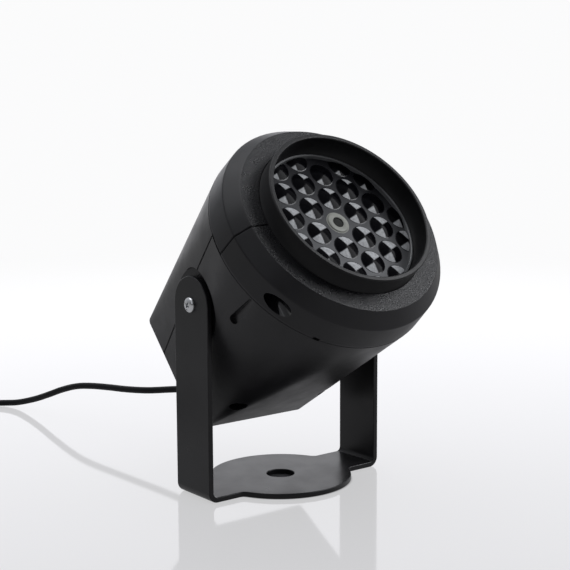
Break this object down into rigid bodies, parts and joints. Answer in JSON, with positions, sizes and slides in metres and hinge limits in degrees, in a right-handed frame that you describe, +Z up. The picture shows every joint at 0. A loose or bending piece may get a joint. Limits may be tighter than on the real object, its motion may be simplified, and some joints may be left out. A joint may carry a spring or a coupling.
{
  "type": "projector light",
  "caption": "Small projector light: black tapered head with a hooded lens plate, tilting in a U-shaped steel bracket with a round foot, and a thin lead.",
  "frame": {"origin": "centre of the underside of the box around the light at rest, without its lead; the foot's underside is Z = 0", "axes": "+Z up, the light points towards -Y and up, +X along the tilt pivot"},
  "size_m": [0.1691, 0.2733, 0.1479],
  "materials": {
    "painted_steel": "satin black powder paint on bent sheet steel",
    "screw_steel": "bright zinc-plated steel",
    "white_nylon": "natural nylon",
    "shell_plastic": "black moulded plastic, satin, with a coarse spark-eroded grain on the front ring",
    "hood_plastic": "black moulded plastic, smooth satin",
    "plug_plastic": "black soft plastic overmould",
    "seal_rubber": "black rubber",
    "cord_jacket": "black flexible jacket, slightly glossy",
    "clear_acrylic": "clear acrylic, polished lenslets and frosted web",
    "wheel_acrylic": "clear acrylic",
    "bare_aluminium": "plain aluminium",
    "board_green": "green circuit board",
    "board_white": "white solder mask",
    "led_phosphor": "yellow phosphor",
    "copper_winding": "enamelled copper wire"
  },
  "bodies": {
    "stand": {"bracket": "painted_steel", "cord": "cord_jacket", "cord_tail": "cord_jacket", "cord_coil": "cord_jacket", "cord_tie": "cord_jacket", "plug_body": "plug_plastic", "plug_contacts": "screw_steel"},
    "head": {"capacitor": "bare_aluminium", "collimator_1": "clear_acrylic", "collimator_2": "clear_acrylic", "collimator_3": "clear_acrylic", "collimator_4": "clear_acrylic", "cord_gland": "seal_rubber", "driver_board": "board_green", "driver_chip": "hood_plastic", "driver_screw_1": "screw_steel", "driver_screw_2": "screw_steel", "gear_motor": "bare_aluminium", "heat_sink": "bare_aluminium", "heat_sink_screw_bottom": "screw_steel", "heat_sink_screw_top": "screw_steel", "hood": "hood_plastic", "inductor": "copper_winding", "led_1": "led_phosphor", "led_2": "led_phosphor", "led_3": "led_phosphor", "led_4": "led_phosphor", "led_board": "board_white", "lens_gasket": "seal_rubber", "lens_plate": "clear_acrylic", "lower_shell": "shell_plastic", "motor_connector": "white_nylon", "motor_screw_left": "screw_steel", "motor_screw_right": "screw_steel", "pivot_nut_left": "screw_steel", "pivot_nut_right": "screw_steel", "pivot_screw_left": "screw_steel", "pivot_screw_right": "screw_steel", "pivot_washer_left": "white_nylon", "pivot_washer_right": "white_nylon", "shell_screw_front_left": "screw_steel", "shell_screw_front_right": "screw_steel", "shell_screw_rear_left": "screw_steel", "shell_screw_rear_right": "screw_steel", "supply_connector": "white_nylon", "upper_shell": "shell_plastic"},
    "wheel": {"pattern_wheel": "wheel_acrylic", "motor_shaft": "screw_steel"}
  },
  "joints": [
    {"name": "head_tilt", "type": "hinge", "parent": "stand", "child": "head", "pos_m": [0, 0.00577, 0.08], "axis": [-1, 0, 0], "range_deg": [-13, 48]},
    {"name": "wheel_spin", "type": "hinge", "parent": "head", "child": "wheel", "pos_m": [0, 0.00524, 0.0794], "axis": [0, -0.7443, 0.6678], "continuous": true}
  ]
}
